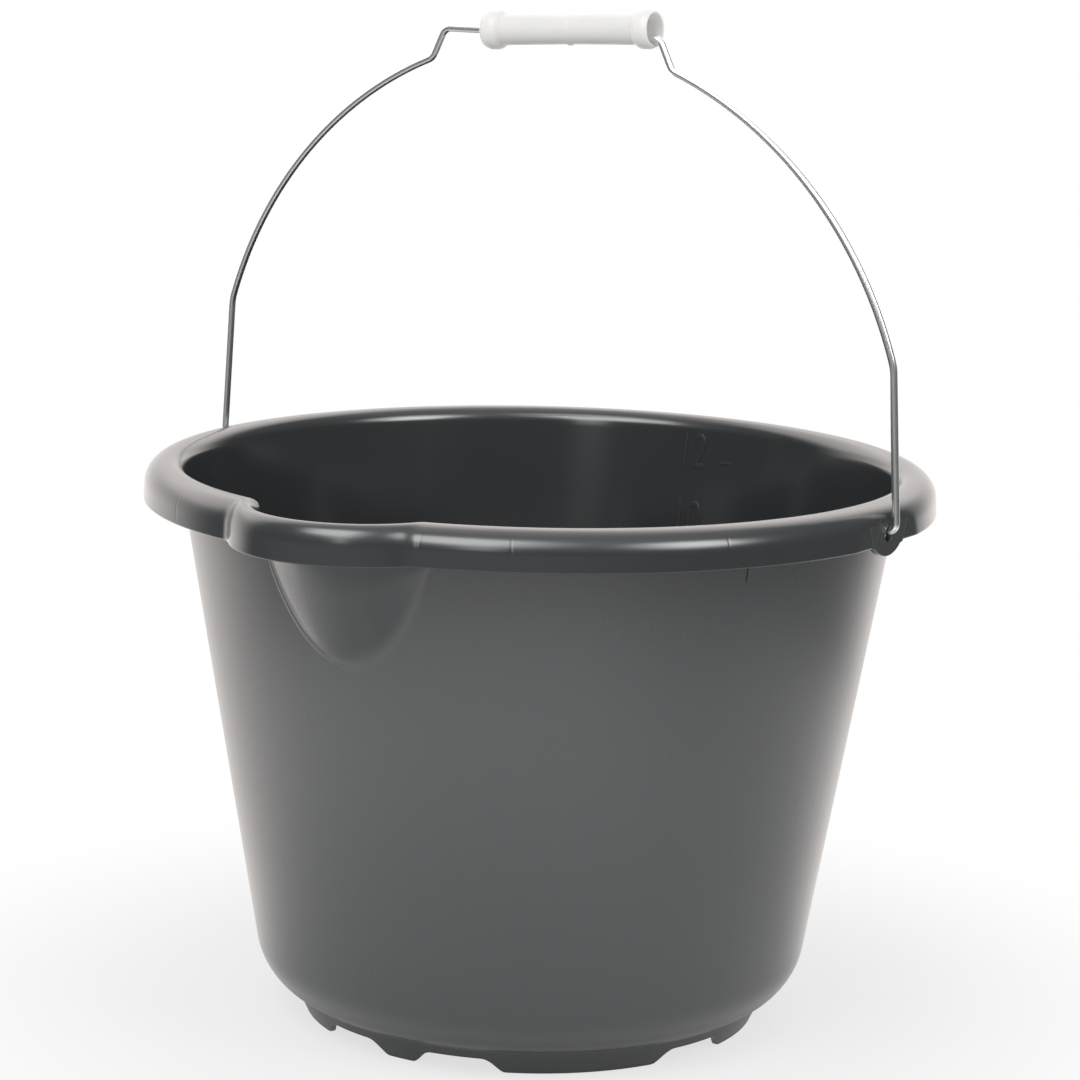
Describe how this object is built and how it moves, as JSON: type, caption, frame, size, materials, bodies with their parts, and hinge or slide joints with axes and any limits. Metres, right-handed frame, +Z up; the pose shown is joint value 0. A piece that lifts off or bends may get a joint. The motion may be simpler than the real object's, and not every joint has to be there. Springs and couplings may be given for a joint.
{
  "type": "bucket",
  "caption": "Round tapered plastic bucket with a pouring lip, a rolled rim with a skirt, a notched foot ring and a swinging wire bail that carries a loose hand grip.",
  "frame": {"origin": "on the bucket's axis, on the ground that the foot ring stands on", "axes": "+Z up along the bucket's axis, X through the two ears and along the bail's hinge, -Y towards the pouring lip"},
  "size_m": [0.3478, 0.3587, 0.439],
  "materials": {
    "body": "satin graphite polypropylene",
    "wire": "bright zinc plate",
    "grip": "off-white polyethylene"
  },
  "bodies": {
    "bucket": {"bucket_body": "body"},
    "bail": {"wire_bail": "wire"},
    "grip": {"hand_grip": "grip"}
  },
  "joints": [
    {"name": "bail_swing", "type": "hinge", "parent": "bucket", "child": "bail", "pos_m": [0, 0, 0.2326], "axis": [1, 0, 0], "range_deg": [-134, 134]},
    {"name": "grip_spin", "type": "hinge", "parent": "bail", "child": "grip", "pos_m": [0.01, 0, 0.4289], "axis": [0.999, 0, 0.0454], "continuous": true}
  ]
}
